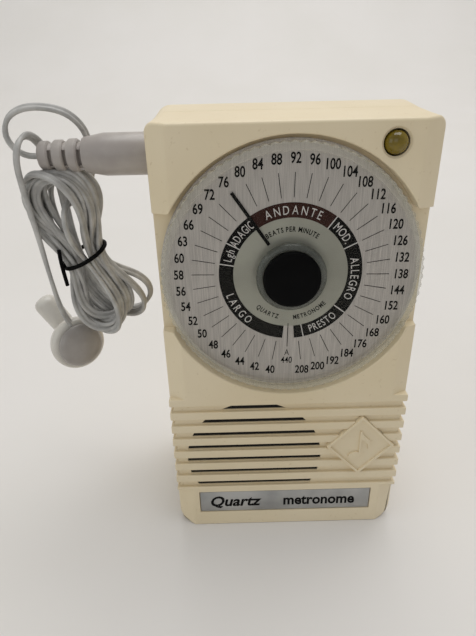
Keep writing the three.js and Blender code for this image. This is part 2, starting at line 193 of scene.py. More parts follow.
def whole(mesh):
    """Whether every edge has two faces, and the volume in cubic metres."""
    work = bmesh.new()
    work.from_mesh(mesh)
    good = len(work.faces) > 3 and all(len(edge.link_faces) == 2 for edge in work.edges)
    volume = work.calc_volume()
    work.free()
    return good, volume


NUDGES = (0.0, 0.003, -0.004, 0.007, -0.011)


def boolean(obj, others, how="DIFFERENCE"):
    """Exact booleans one by one; one that tears the mesh is tried again a few thousandths of a mm off."""
    for other in others:
        before = obj.data
        volume = whole(before)[1]
        for nudge in NUDGES:
            obj.data = before
            other.data.transform(Matrix.Translation((nudge * MM, nudge * MM / 2, -nudge * MM)))
            cut = obj.modifiers.new("cut", "BOOLEAN")
            cut.object = other
            cut.operation = how
            cut.solver = "EXACT"
            applied(obj)
            good, after = whole(obj.data)
            if good and (how == "UNION") == (after > volume):
                break
        else:
            print("torn by", other.name)
        bpy.data.objects.remove(other)
    return obj


def softened(obj, width, segments, angle, share=lambda middle: 1.0):
    """Rounds edges sharper than an angle; share turns an edge's middle into its part of the width."""
    work = bmesh.new()
    work.from_mesh(obj.data)
    layers = work.edges.layers.float
    weights = layers.get("bevel_weight_edge") or layers.new("bevel_weight_edge")
    for edge in work.edges:
        sharp = len(edge.link_faces) == 2 and edge.calc_face_angle(0) > math.radians(angle)
        edge[weights] = share((edge.verts[0].co + edge.verts[1].co) / 2 / MM) if sharp else 0.0
    work.to_mesh(obj.data)
    work.free()
    edge = obj.modifiers.new("edge", "BEVEL")
    edge.width = width * MM
    edge.segments = segments
    edge.limit_method = "WEIGHT"
    edge.use_clamp_overlap = False
    edge.miter_outer = "MITER_ARC"
    applied(obj)
    return shaded(obj)


def shaded(obj, angle=35):
    for face in obj.data.polygons:
        face.use_smooth = True
    obj.data.set_sharp_from_angle(angle=math.radians(angle))
    return obj


def painted(obj, look):
    obj.data.materials.clear()
    obj.data.materials.append(look)


def finished(obj, body, look, stands_for=()):
    """Gives a piece its body and material, and hides the frame parts it stands for."""
    painted(obj, look)
    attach(obj, body)
    if stands_for:
        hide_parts(*stands_for)
    return obj


def joined(name, objects):
    """Several meshes as one."""
    work = bmesh.new()
    for obj in objects:
        work.from_mesh(obj.data)
        bpy.data.objects.remove(obj)
    mesh = bpy.data.meshes.new(name)
    work.to_mesh(mesh)
    work.free()
    return link(name, mesh)


# ---------- materials ----------

def srgb(*levels):
    """A colour given as 0 to 255, made linear."""
    shares = [v / 255 for v in levels]
    return tuple(s / 12.92 if s <= 0.04045 else ((s + 0.055) / 1.055) ** 2.4 for s in shares) + (1,)


class Look:
    """A node material: colour that drifts between two tones, uneven gloss and a fine relief."""

    def __init__(self, name):
        self.material = bpy.data.materials.new(name)
        self.material.use_nodes = True
        self.nodes = self.material.node_tree.nodes
        self.links = self.material.node_tree.links
        self.shader = self.nodes["Principled BSDF"]
        self.coordinates = self.nodes.new("ShaderNodeTexCoord").outputs["Object"]

    def node(self, kind, source, socket, **values):
        """A new node fed by source, with its other sockets' values."""
        node = self.nodes.new("ShaderNode" + kind)
        for name, value in values.items():
            node.inputs[name.replace("_", " ")].default_value = value
        self.links.new(source, node.inputs[socket])
        return node

    def noise(self, scale, detail=3.0, coordinates=None):
        source = coordinates or self.coordinates
        return self.node("TexNoise", source, "Vector", Scale=scale, Detail=detail).outputs["Fac"]

    def stretched(self, x, y, z):
        return self.node("Mapping", self.coordinates, "Vector", Scale=(x, y, z)).outputs["Vector"]

    def ramp(self, source, low, high, start=0.35, end=0.65):
        """Two tones, given as 0 to 255."""
        node = self.node("ValToRGB", source, "Fac")
        for stop, place, levels in zip(node.color_ramp.elements, (start, end), (low, high)):
            stop.position = place
            stop.color = srgb(*levels)
        return node.outputs["Color"]

    def span(self, source, low, high):
        return self.node("MapRange", source, "Value", To_Min=low, To_Max=high).outputs["Result"]

    def relief(self, source, depth, strength):
        node = self.node("Bump", source, "Height", Strength=strength, Distance=depth * MM)
        self.links.new(node.outputs["Normal"], self.shader.inputs["Normal"])

    def set(self, **values):
        for name, value in values.items():
            self.shader.inputs[name.replace("_", " ")].default_value = value

    def colour(self, source):
        self.links.new(source, self.shader.inputs["Base Color"])

    def gloss(self, source):
        self.links.new(source, self.shader.inputs["Roughness"])


def plain_look(name, low, high, rough, patch=90, grain=2500, depth=0.01, **values):
    """Moulded or painted stuff: patch and grain are noise scales per metre."""
    look = Look(name)
    look.colour(look.ramp(look.noise(patch), low, high))
    look.gloss(look.span(look.noise(patch * 3), *rough))
    look.relief(look.noise(grain, 2.0), depth, 0.5)
    look.set(**values)
    return look.material


def cream_look():
    """Cream housing plastic, a little yellowed in patches, with fine specks and a satin grain."""
    look = Look("cream_plastic")
    base = look.ramp(look.noise(28, 4.0), (223, 206, 171), (231, 216, 185), 0.3, 0.7)
    specks = look.ramp(look.noise(900, 2.0), (196, 176, 134), (255, 255, 255), 0.2, 0.34)
    mix = look.nodes.new("ShaderNodeMix")
    mix.data_type = "RGBA"
    mix.blend_type = "MULTIPLY"
    mix.inputs["Factor"].default_value = 0.3
    look.links.new(base, mix.inputs[6])
    look.links.new(specks, mix.inputs[7])
    look.colour(mix.outputs[2])
    look.gloss(look.span(look.noise(120), 0.34, 0.5))
    look.relief(look.noise(1800, 3.0), 0.012, 0.45)
    look.set(Specular_IOR_Level=0.45)
    return look.material


def scale_look():
    """Silver-grey print with a faint brushed grain."""
    look = Look("scale_silver")
    grain = look.noise(60, 4.0, look.stretched(90, 1, 2.5))
    look.colour(look.ramp(grain, (167, 161, 154), (196, 190, 182), 0.3, 0.7))
    look.gloss(look.span(look.noise(300), 0.38, 0.55))
    look.relief(grain, 0.01, 0.3)
    look.set(Metallic=0.35)
    return look.material


def clear_look(name, blend, low, high, rough):
    """Clear moulded plastic: lets the scale through, and is denser where it is seen edge-on."""
    look = Look(name)
    look.gloss(look.span(look.noise(200), *rough))
    look.relief(look.noise(350), 0.02, 0.3)
    look.colour(look.ramp(look.noise(80), (204, 200, 180), (220, 216, 197)))
    weight = look.nodes.new("ShaderNodeLayerWeight")
    weight.inputs["Blend"].default_value = blend
    look.links.new(look.span(weight.outputs["Facing"], low, high), look.shader.inputs["Alpha"])
    look.set(Specular_IOR_Level=0.6)
    return look.material


def lead_look():
    """Grey twin lead with a soft sheen and faint mottling."""
    look = Look("grey_lead")
    look.colour(look.ramp(look.noise(250, 4.0), (164, 162, 158), (192, 190, 185)))
    look.gloss(look.span(look.noise(400), 0.32, 0.48))
    look.relief(look.noise(3000), 0.01, 0.4)
    return look.material


CREAM = cream_look()
SILVER = scale_look()
CLEAR = clear_look("clear_plastic", 0.15, 0.0, 0.4, (0.05, 0.14))
# Whiter, denser clear for the wheel's rim: painted highlight standing in for its reflections.
RIM_PAINTED_HIGHLIGHT = clear_look("rim_highlight_clear_plastic", 0.4, 0.18, 0.52, (0.16, 0.28))
LEAD = lead_look()
PALE_SILVER = plain_look("scale_centre_silver", (150, 149, 136), (165, 164, 150), (0.35, 0.5), Metallic=0.3)
BROWN_INK = plain_look(
    "brown_ink", (48, 26, 22), (62, 36, 30), (0.5, 0.65), patch=900, Specular_IOR_Level=0.1)
CAP_GREY = plain_look("grey_cap_plastic", (150, 144, 138), (162, 156, 150), (0.16, 0.24), patch=140)
AMBER = plain_look("amber_lens", (92, 76, 4), (122, 102, 12), (0.05, 0.1), patch=300)
# Translucent grey for the ring round the hub: painted shade on the clear boss.
BOSS_PAINTED_SHADE = plain_look("boss_painted_shade", (84, 86, 78), (100, 102, 94), (0.08, 0.16), patch=200, Alpha=0.7)
INK = plain_look("black_ink", (3, 3, 3), (12, 11, 11), (0.5, 0.65), patch=900, Specular_IOR_Level=0.1)
WHITE_INK = plain_look("white_ink", (196, 192, 186), (216, 212, 206), (0.4, 0.55), patch=900)
BLACK = plain_look("black_plastic", (4, 4, 4), (9, 9, 9), (0.42, 0.55), Specular_IOR_Level=0.06)
GREY = plain_look("grey_plastic", (160, 152, 146), (174, 167, 160), (0.28, 0.4), patch=140)
EAR_GREY = plain_look("earphone_grey", (198, 193, 183), (212, 207, 197), (0.2, 0.3), patch=140)
FOIL = plain_look("silver_foil", (150, 150, 148), (182, 181, 178), (0.3, 0.42), Metallic=0.5)
STEEL = plain_look("zinc_steel", (120, 122, 124), (160, 162, 163), (0.25, 0.4), Metallic=1.0)
NICKEL = plain_look("nickel", (176, 172, 164), (198, 195, 188), (0.12, 0.22), Metallic=1.0)
BOARD = plain_look("board_green", (22, 72, 34), (34, 92, 44), (0.35, 0.5), patch=400)
CLOTH = plain_look(
    "speaker_cloth", (10, 9, 8), (20, 18, 16), (0.8, 0.95), patch=1500, grain=4000, depth=0.05)
CONE = plain_look("black_paper", (24, 22, 20), (40, 37, 33), (0.7, 0.9), patch=600, grain=1200)
JACKET = plain_look("battery_jacket", (20, 22, 26), (34, 36, 42), (0.25, 0.35), Metallic=0.4)

# ---------- camera ----------

EYE = (-13.46, -107.4, 133.3)
PITCH, YAW, ROLL = 33.32, 0.27, -1.33  # degrees
LENS = 27.02

camera = bpy.data.objects.new("camera", bpy.data.cameras.new("camera"))
scene.collection.objects.link(camera)
camera.data.lens = LENS
camera.data.clip_start = 0.005
camera.matrix_world = (
    Matrix.Translation(Vector(EYE) * MM)
    @ Matrix.Rotation(-math.radians(YAW), 4, "Z")
    @ Matrix.Rotation(math.radians(90 - PITCH), 4, "X")
    @ Matrix.Rotation(math.radians(ROLL), 4, "Z")
)
scene.camera = camera

# ---------- plug and earphone ----------

JACK_Y, JACK_Z = 8.8, 104.2
PLUG = at(0, JACK_Y, JACK_Z) @ TO_LEFT
PLUG_START, PLUG_END = 32.4, 48.3  # distances to the left of the case's middle
RELIEF_START = PLUG_END + 0.3
RELIEF_PITCH, RELIEF_RINGS = 3.4, 3
RELIEF_CORE = 1.6  # half of what the windows leave


def plug_body():
    """A moulded barrel with a tapered end."""
    body = turned("plug_barrel", [
        (2.05, PLUG_START), (4.5, PLUG_START), (4.75, PLUG_START + 0.15), (4.85, PLUG_START + 0.5),
        (4.85, 43.2), (4.75, 43.9), (4.05, 47.7), (3.9, 48.15), (3.6, PLUG_END), (0, PLUG_END),
        (0, PLUG_START + 4.8), (2.05, PLUG_START + 4.8), (2.05, PLUG_START)], PLUG, 64)
    return finished(shaded(body), "earphone_set", GREY, ["plug_body"])


def strain_relief():
    """Three rings on a core, with short windows cut between them at the front and back."""
    profile = [(0, RELIEF_START), (2.9, RELIEF_START)]
    for i in range(RELIEF_RINGS):
        low = RELIEF_START + 0.75 + i * RELIEF_PITCH
        r = 3.75 - 0.2 * i
        profile += [(2.9, low - 0.05), (r - 0.3, low), (r, low + 0.35), (r, low + 1.9),
                    (r - 0.35, low + 2.4), (2.9 - 0.15 * i, low + 2.45)]
    profile += [(1.9, RELIEF_START + 10.1), (0, RELIEF_START + 10.1)]
    relief = turned("ribbed_relief", profile, PLUG, 64)
    boolean(relief, [
        box("window", (-RELIEF_START - 0.75 - RELIEF_PITCH * i, -RELIEF_START - RELIEF_PITCH * i + 0.1),
            depth, (JACK_Z - 1.8, JACK_Z + 1.8))
        for depth in ((-5, JACK_Y - RELIEF_CORE), (JACK_Y + RELIEF_CORE, 20)) for i in range(RELIEF_RINGS)])
    return finished(shaded(relief), "earphone_set", GREY, ["strain_relief"])


def earphone():
    """A capsule of cap and shell, with a short tube for the ear."""
    capsule = along((-59.0, 5.8, 50.9), (0.6, -0.78, 0.19))
    cap = turned("earphone_face", [
        (0, -0.4), (6.0, -0.4), (6.3, -0.2), (6.4, 0.1), (6.3, 0.45), (5.9, 0.95), (5.0, 1.45),
        (3.6, 1.85), (2.0, 2.1), (0, 2.2)], capsule, 64)
    finished(shaded(cap, 50), "earphone_set", CAP_GREY, ["earphone_cap"])
    shell = turned("earphone_body", [
        (0, -7.6), (2.4, -7.55), (4.6, -7.2), (6.0, -6.4), (7.0, -5.3), (7.6, -4.0), (7.8, -2.8),
        (7.7, -1.7), (7.35, -1.0), (6.9, -0.7), (0, -0.7)], capsule, 64)
    finished(shaded(shell, 50), "earphone_set", EAR_GREY, ["earphone_shell"])
    root, tip = Vector((-66.9, 12.4, 57.4)), Vector((-69.6, 13.2, 61.4))
    tube = turned("ear_tube", [
        (0, -5.4), (2.7, -5.4), (3.2, -3.0), (3.3, 1.0), (3.3, 4.0), (3.1, 4.9), (2.6, 5.7),
        (1.8, 6.15), (1.0, 6.3), (1.0, 3.0), (0, 3.0)], along(root, tip - root), 48)
    finished(shaded(tube, 50), "earphone_set", EAR_GREY, ["earphone_ear_tube"])
    return [cap, shell, tube]


PLUG_PIECES = [plug_body(), strain_relief()]
EARPHONE_PIECES = [*PLUG_PIECES, *earphone()]

# ---------- cord ----------

LEAD_WIDTH, LEAD_THICKNESS = 2.3, 1.15

# From the plug round one springy loop above it, and down behind it to the hank.
LOOP_ROUTE = [
    (-59.1, 8.8, 104.2), (-60.8, 8.8, 104.2), (-62.8, 8.8, 104.8), (-64.5, 8.9, 106.2),
    (-65.5, 9.0, 108.1), (-65.5, 9.2, 110.3), (-64.6, 9.4, 112.3), (-62.9, 9.7, 113.7),
    (-60.7, 10.1, 114.5), (-58.2, 10.6, 114.7), (-55.6, 11.2, 114.4), (-52.7, 12.2, 113.4),
    (-50.4, 13.5, 111.3), (-49.1, 14.9, 108.4), (-48.8, 15.9, 104.8), (-49.1, 16.2, 100.8),
    (-49.6, 15.7, 96.6), (-50.3, 14.9, 92.6),
]

# From the top of the hank over the stub of the plug's lead, and straight down to the earphone.
DROP_ROUTE = [
    (-57.2, 12.2, 99.0), (-58.3, 13.8, 101.0), (-59.4, 14.6, 103.3), (-60.3, 14.0, 105.9),
    (-61.0, 12.0, 107.9), (-61.6, 9.3, 108.7), (-62.1, 6.6, 107.9), (-62.5, 4.8, 105.9),
    (-62.8, 4.1, 103.2), (-63.0, 4.3, 99.4), (-63.2, 5.0, 94.5), (-63.2, 5.7, 89.0),
    (-63.1, 6.1, 83.0), (-63.0, 6.2, 77.0), (-62.8, 6.3, 71.0), (-62.5, 6.5, 65.0),
    (-62.0, 6.9, 60.8), (-61.3, 7.3, 58.0), (-60.7, 7.7, 55.6),
]

HANK_CENTRE = Vector((-53.2, 9.2, 76.8))
HANK_TILT = 0.19
HANK_TURNS = 10
HELD_ROWS = 5  # turns side by side in depth under the tie
LOOSE_TURNS = {7: 4.4, 9: 7.0}  # how far their low ends hang out to the right
WAIST = (4.9, 3.3)  # half width and half depth under the tie
TOP_BULGE, LOW_BULGE = 5.4, 5.5  # radii at the two ends of a turn
FAN = 24  # degrees to each side
SETTLING_STEP, SETTLING_ROUNDS, BENDING_ROUNDS = 2.2, 220, 6
CLEARANCE = 1.7  # between the middles of two turns
TIGHTEST_BEND = 2.5 * LEAD_WIDTH
PUSH, STIFFNESS, LENGTH_HOLD = 0.14, 0.03, 0.35  # shares of a fault that one round takes away
PATH_STEP = 1.1
HANK_UP = Vector((-math.sin(HANK_TILT), 0, math.cos(HANK_TILT)))
HANK_RIGHT = Vector((math.cos(HANK_TILT), 0, math.sin(HANK_TILT)))


def hank_turn(i):
    """One turn of the hank in (right, depth, up), pinched at the tie and fanned out at its ends."""
    share = i / (HANK_TURNS - 1)
    fan = math.radians(-FAN + 2 * FAN * ((i * 0.382) % 1))
    top, low = 25.0 - 4.0 * ((i * 0.71) % 1), 20.6 - 3.0 * ((i * 0.55) % 1)
    top_r, low_r = TOP_BULGE + 0.9 * ((i * 0.45) % 1), LOW_BULGE
    top_shift, low_shift = -2.6 + 5.2 * ((i * 0.618) % 1), -0.6 + 1.6 * share
    depth = -2.8 + 5.6 * share
    loose = LOOSE_TURNS.get(i, 0)
    if loose:
        low, fan = (18.5, 0.2) if i == HANK_TURNS - 1 else (20.5, -0.1)
    straight = np.linspace(top - top_r - 3, -(low - low_r - 3), 5)
    path = [*((top_r, s) for s in straight), *arc(0, low_r - low, low_r, 0, -180, 7),
            *((-top_r, s) for s in straight[::-1]), *arc(0, top - top_r, top_r, 180, 0, 7)]
    column, row = divmod(i, HELD_ROWS)
    points = []
    for right, up in path:
        side = 1 if right > 0 else -1
        pinch = math.exp(-((up / 6.5) ** 2))
        below = max(0.0, min(1.0, (-up - 1) / 11)) if loose else 0.0
        slide = (top_shift if up > 0 else low_shift) * min(1.0, abs(up) / 12) + loose * below
        free = Vector((right * math.cos(fan) + slide, right * math.sin(fan) + depth, up))
        held = Vector((side * (1.2 + 2.3 * column), -2.6 + 1.3 * row, up))
        points.append(free.lerp(held, pinch))
    return points


def settled(points, head, tail):
    """Pushes the turns apart, opens the bends that are too tight, and keeps the turns inside the tie.

    The first head and the last tail points stay where they are.
    """
    p = np.array(points)
    start = p.copy()
    n = len(p)
    lengths = np.linalg.norm(np.diff(p, axis=0), axis=1)
    far_apart = np.abs(np.subtract.outer(np.arange(n), np.arange(n))) > 4
    most_bent = SETTLING_STEP ** 2 / TIGHTEST_BEND
    for turn in range(SETTLING_ROUNDS):
        away = p[:, None] - p[None]
        distance = np.linalg.norm(away, axis=2) + 1e-9
        close = far_apart & (distance < CLEARANCE)
        push = np.where(close, (CLEARANCE - distance) / distance, 0)[..., None] * away
        p += PUSH * push.sum(axis=1) * min(1.0, 2 - 2 * turn / SETTLING_ROUNDS)
        for _ in range(BENDING_ROUNDS):
            p[2:-2] -= STIFFNESS * (p[:-4] - 4 * p[1:-3] + 6 * p[2:-2] - 4 * p[3:-1] + p[4:])
            bend = p[:-2] - 2 * p[1:-1] + p[2:]
            much = np.linalg.norm(bend, axis=1)[:, None] + 1e-9
            ease = np.maximum(0, 1 - most_bent / much) * bend / 6
            p[1:-1] += 2 * ease
            p[:-2] -= ease
            p[2:] -= ease
            step = np.diff(p, axis=0)
            fix = LENGTH_HOLD * step * (1 - lengths[:, None] / np.linalg.norm(step, axis=1)[:, None])
            p[:-1] += fix
            p[1:] -= fix
        waist = np.abs(p[:, 2] - 0.5) < 2.0
        reach = np.sqrt((p[:, 0] / WAIST[0]) ** 2 + (p[:, 1] / WAIST[1]) ** 2)
        out = waist & (reach > 1)
        p[out, :2] /= reach[out, None]
        p[:head], p[-tail:] = start[:head], start[-tail:]
    return p


def smooth_path(points, step):
    """A centripetal curve through the points, sampled every step along it."""
    p = np.array(points)
    p = np.vstack([2 * p[0] - p[1], p, 2 * p[-1] - p[-2]])
    out = []
    for a, b, c, d in zip(p, p[1:], p[2:], p[3:]):
        t = np.cumsum([0] + [np.linalg.norm(q) ** 0.5 for q in (b - a, c - b, d - c)])
        for u in np.linspace(t[1], t[2], 12, endpoint=False):
            ab = [(t[k + 1] - u) / (t[k + 1] - t[k]) * m + (u - t[k]) / (t[k + 1] - t[k]) * n
                  for k, (m, n) in enumerate(((a, b), (b, c), (c, d)))]
            ac = [(t[k + 2] - u) / (t[k + 2] - t[k]) * ab[k] + (u - t[k]) / (t[k + 2] - t[k]) * ab[k + 1]
                  for k in range(2)]
            out.append((t[2] - u) / (t[2] - t[1]) * ac[0] + (u - t[1]) / (t[2] - t[1]) * ac[1])
    out.append(p[-2])
    out = np.array(out)
    run = np.concatenate([[0], np.cumsum(np.linalg.norm(np.diff(out, axis=0), axis=1))])
    places = np.linspace(0, run[-1], round(run[-1] / step) + 1)
    return np.stack([np.interp(places, run, out[:, k]) for k in range(3)], axis=1)


def swept(name, path, section, roll=lambda share: 0.0):
    """A closed tube of one section along a path, with as little twist as the path allows, plus roll."""
    tangents = np.gradient(path, axis=0)
    tangents /= np.linalg.norm(tangents, axis=1)[:, None]
    side = Vector((0, 1, 0))
    rings = []
    for k, (place, tangent) in enumerate(zip(path, tangents)):
        ahead = Vector(tangent)
        side = (side - ahead * side.dot(ahead)).normalized()
        turn = Matrix.Rotation(roll(k / (len(path) - 1)), 3, ahead)
        u, v = turn @ side, turn @ ahead.cross(side)
        rings.append([Vector(place) + u * a + v * b for a, b in section])
    return shaded(skin(name, rings), 60)


def twin_section():
    """Two round cores side by side, as (across, through) points."""
    r = LEAD_THICKNESS / 2
    middle = LEAD_WIDTH / 2 - r
    right = [(middle + x, z) for x, z in arc(0, 0, r, -150, 150, 8)]
    return right + [(-x, -z) for x, z in right]


def round_section(radius):
    return arc(0, 0, radius, 0, 360, 10)[:-1]


def lead_path():
    """The whole route: the loop, the settled hank and the drop."""
    turns = [p for i in range(HANK_TURNS) for p in hank_turn(i)]
    turns = turns[:-11]  # the last turn ends on its way up
    hank = [HANK_CENTRE + HANK_RIGHT * p.x + Vector((0, p.y, 0)) + HANK_UP * p.z for p in turns]
    route = smooth_path([*LOOP_ROUTE, *map(tuple, hank), *DROP_ROUTE], SETTLING_STEP)
    head, tail = (round(len(smooth_path(r, SETTLING_STEP)) - 3) for r in (LOOP_ROUTE, DROP_ROUTE))
    rows = np.array([HANK_RIGHT, (0, 1, 0), HANK_UP])
    local = settled((route - np.array(HANK_CENTRE)) @ rows.T, head, tail)
    return smooth_path(local @ rows + np.array(HANK_CENTRE), PATH_STEP)


LEAD_PATH = lead_path()
LEAD_ROLL, ROLL_WAVES = 1.2, 31  # radians of twist, and how fast it comes and goes along the lead
lead = swept(
    "earphone_lead", LEAD_PATH, twin_section(), lambda share: LEAD_ROLL * math.sin(ROLL_WAVES * share))
finished(lead, "earphone_set", LEAD, ["cord_loop", "cord_hank", "cord_drop"])


def tie_path():
    """The twist tie: a little over one turn round the waist, then a straight tail."""
    ring = []
    for t in np.linspace(0.2, 2 * math.pi + 0.5, 26):
        right, depth = -(WAIST[0] + 1.3) * math.cos(t), -(WAIST[1] + 1.2) * math.sin(t)
        up = 1.1 - 1.6 * math.cos(t - 0.4) + 0.12 * t
        ring.append(tuple(HANK_CENTRE + HANK_RIGHT * right + Vector((0, depth, 0)) + HANK_UP * up))
    return ring, [(-58.6, 5.6, 81.4), (-58.5, 4.9, 78.6), (-58.3, 4.5, 75.2), (-58.1, 4.4, 71.6)]


ring_path, tail_path = tie_path()
ring_piece = swept("twist_tie", smooth_path(ring_path, 0.8), round_section(0.55))
tail_piece = swept("twist_tie_tail", smooth_path(tail_path, 0.8), round_section(0.5))
tie = shaded(joined("twist_tie", [ring_piece, tail_piece]))
finished(tie, "earphone_set", BLACK, ["cord_tie"])

# ---------- housing ----------

FACE, FLOOR, SEAM = -3.5, 1.0, 9.0  # depths of the raised front, of the round pocket and of the seam
SEAM_GAP = 0.05  # on each side of the seam
NOTCH_LOW, NOTCH_TOP = -13.75, 15.8
POCKET_RADIUS = 32.2
BEVEL_WIDTH, BEVEL_DEPTH = 4.5, 2.2
RIBS_TOP, RIB_PITCH, GROOVES = -33.6, 4.42, 7
GROOVE_HEIGHT, GROOVE_DEPTH, TILE_DEPTH = 2.0, 1.0, 1.4
SPEAKER_X, SPEAKER_Z, SLOT_RADIUS = -9.3, -54.3, 19.0
SLOT_TOP, SLOT_HEIGHT = 0.45, 1.25  # below the top of its groove, and its height
LAMP_X, LAMP_Z, LAMP_RADIUS = 21.3, 30.0, 2.5
PLATE_X, PLATE_Z, PLATE_WIDTH, PLATE_HEIGHT = -0.3, -70.3, 50.3, 7.5
EMBLEM_X, EMBLEM_Z, EMBLEM_WIDE, EMBLEM_HIGH = 20.5, -50.3, 9.4, 9.9
CLOTH_DEPTH = -2.2
CORNER = 4.5  # radius at the foot of the case
SHARP = 0.6  # the smallest corner radius an inner outline may have
FAR = 80.0


def case_block(name, inset, stations):
    """The upright outline of the case through stations of (depth, top corner radius)."""
    side = HALF_WIDTH - inset
    rings = []
    for y, top in stations:
        outline = rounded(-side, side, inset, TOP - inset, max(top - inset, SHARP), CORNER - inset)
        rings.append([(x, y, z) for x, z in outline])
    return skin(name, rings)


def levels(low, high):
    """All that lies between two depths, square to the front."""
    return box("levels", (-FAR, FAR), (low, high), (-2 * FAR, FAR), FRONT)


def pocket_cutter():
    """The round pocket behind the wheel together with the notches beside it."""
    top = math.degrees(math.asin(NOTCH_TOP / POCKET_RADIUS))
    low = math.degrees(math.asin(NOTCH_LOW / POCKET_RADIUS))
    outline = [
        (FAR, NOTCH_LOW), (FAR, NOTCH_TOP), *arc(0, 0, POCKET_RADIUS, top, 180 - top, 40),
        (-FAR, NOTCH_TOP), (-FAR, NOTCH_LOW), *arc(0, 0, POCKET_RADIUS, 180 - low, 360 + low, 48),
    ]
    return prism("pocket", outline, FACE - 9, FLOOR, FRONT)


def bevel_cutters():
    """The chamfers down both sides of the raised front."""
    slope = BEVEL_DEPTH / BEVEL_WIDTH
    ends = [-1.0, BEVEL_WIDTH + 2]  # from in front of the face to outside the case
    inner = HALF_WIDTH - BEVEL_WIDTH
    ribs_low = RIBS_TOP - RIB_PITCH * GROOVES - 0.8
    cutters = []
    for low, high in ((NOTCH_TOP - 1, FAR), (RIBS_TOP, NOTCH_LOW + 1), (-2 * FAR, ribs_low)):
        for side in (-1, 1):
            outline = [(side * (inner + e), FACE + slope * e) for e in ends]
            outline += [(side * (inner + e), FACE - 9) for e in reversed(ends)]
            cutters.append(upright("bevel", outline, low, high, FRONT))
    return cutters


def groove_tops():
    return [RIBS_TOP - 2.2 - i * RIB_PITCH for i in range(GROOVES)]


def groove_cutters():
    """Grooves across the front and a little way round the sides."""
    side, back, floor = HALF_WIDTH - 1, SEAM - 1.5, FACE + GROOVE_DEPTH
    outline = [(-FAR, FACE - 9), (FAR, FACE - 9), (FAR, back), (side, back), (side, floor),
               (-side, floor), (-side, back), (-FAR, back)]
    return [upright("groove", outline, top - GROOVE_HEIGHT, top, FRONT) for top in groove_tops()]


def slot_cutters():
    """Sound slots along the top of each groove, whose ends follow a circle."""
    cutters = []
    for top in (z - SLOT_TOP for z in groove_tops()):
        low = top - SLOT_HEIGHT
        outline = [(SPEAKER_X + side * math.sqrt(max(SLOT_RADIUS ** 2 - (z - SPEAKER_Z) ** 2, 4)), z)
                   for side, z in rectangle((-1, 1), (low, top))]
        cutters.append(prism("slot", outline, FACE + 0.3, 2, FRONT))
    return cutters


def disc_at(name, radius, start, end, place, segments):
    """A plain round cutter or plate between two distances along its axis."""
    return turned(name, [(0, start), (radius, start), (radius, end), (0, end)], place, segments)


SPEAKER = FRONT @ at(SPEAKER_X, 0, SPEAKER_Z)


def speaker_cloth():
    """Black cloth stretched behind the slots."""
    disc = disc_at("speaker_cloth", SLOT_RADIUS - 0.1, CLOTH_DEPTH + 0.05, CLOTH_DEPTH + 0.3, SPEAKER, 64)
    finished(shaded(disc), "case", CLOTH)


def diamond(grow):
    return [(EMBLEM_X + x * (EMBLEM_WIDE + grow), EMBLEM_Z + z * (EMBLEM_HIGH + grow))
            for x, z in ((-1, 0), (0, -1), (1, 0), (0, 1))]


def plate_outline(grow):
    x, z = PLATE_WIDTH / 2 + grow, PLATE_HEIGHT / 2 + grow
    return rectangle((PLATE_X - x, PLATE_X + x), (PLATE_Z - z, PLATE_Z + z))


def jack_hole():
    return disc_at("jack_hole", 3.3, 25, 40, PLUG, 32)


LAMP = FRONT @ at(LAMP_X, 0, LAMP_Z)


def front_edge_share(place):
    """How round an edge of the front shell is: little on the ribs, more towards the top, none inside."""
    x, y, z = FRONT.inverted() @ place
    inside = abs(x) < HALF_WIDTH - 1 and 1.5 < place.z < TOP - 1.5
    near_lamp = math.hypot(x - LAMP_X, z - LAMP_Z) < 5
    near_jack = math.hypot(place.y - JACK_Y, place.z - JACK_Z) < 4 and x < 0
    in_emblem = abs(x - EMBLEM_X) / (EMBLEM_WIDE + 1) + abs(z - EMBLEM_Z) / (EMBLEM_HIGH + 1) < 1.05
    in_plate = abs(x - PLATE_X) < PLATE_WIDTH / 2 + 1 and abs(z - PLATE_Z) < PLATE_HEIGHT / 2 + 1
    deep = y > FLOOR - 0.1
    on_notch_floor = NOTCH_LOW - 0.1 < z < NOTCH_TOP + 0.1 and deep
    in_shell = inside and y > FACE + GROOVE_DEPTH - 0.1 and (z < NOTCH_LOW or deep)
    if y > SEAM - 1 or on_notch_floor or in_shell or near_lamp or near_jack or in_emblem or in_plate:
        return 0.0
    if RIBS_TOP - GROOVES * RIB_PITCH - 0.6 < z < RIBS_TOP - 0.3:
        return 0.2
    return 0.25 + max(0.0, z - POCKET_RADIUS) / 16


def front_shell():
    shell = case_block("front_housing", 0, [(-30, 1.8), (-3.6, 1.8), (3, 3.2), (9.2, 4), (14, 4)])
    boolean(shell, [levels(FACE, SEAM - SEAM_GAP)], "INTERSECT")
    cavity = boolean(
        case_block("cavity", WALL, [(-30, 4), (30, 4)]), [levels(FLOOR + WALL, SEAM + 1)], "INTERSECT")
    boolean(shell, [
        pocket_cutter(),
        *bevel_cutters(),
        *groove_cutters(),
        *slot_cutters(),
        disc_at("speaker_room", SLOT_RADIUS + 0.5, CLOTH_DEPTH, 4, SPEAKER, 64),
        disc_at("shaft_hole", 4.3, 0, WALL + 2, FRONT, 48),
        turned("lamp_hole", [(0, FACE - 1), (3.3, FACE - 1), (3.3, FACE - 0.01), (2.8, FACE + 0.4),
                             (2.8, 6), (0, 6)], LAMP, 48),
        prism("plate_recess", plate_outline(0.25), FACE - 1, FACE + 0.9, FRONT),
        prism("emblem_recess", diamond(0.15), FACE - 1, FACE + TILE_DEPTH, FRONT),
        jack_hole(),
        cavity,
    ])
    softened(shell, 1.6, 4, 20, front_edge_share)
    smooth = shell.modifiers.new("smooth", "WEIGHTED_NORMAL")
    smooth.keep_sharp = True
    applied(shell)
    finished(shell, "case", CREAM, ["front_shell"])


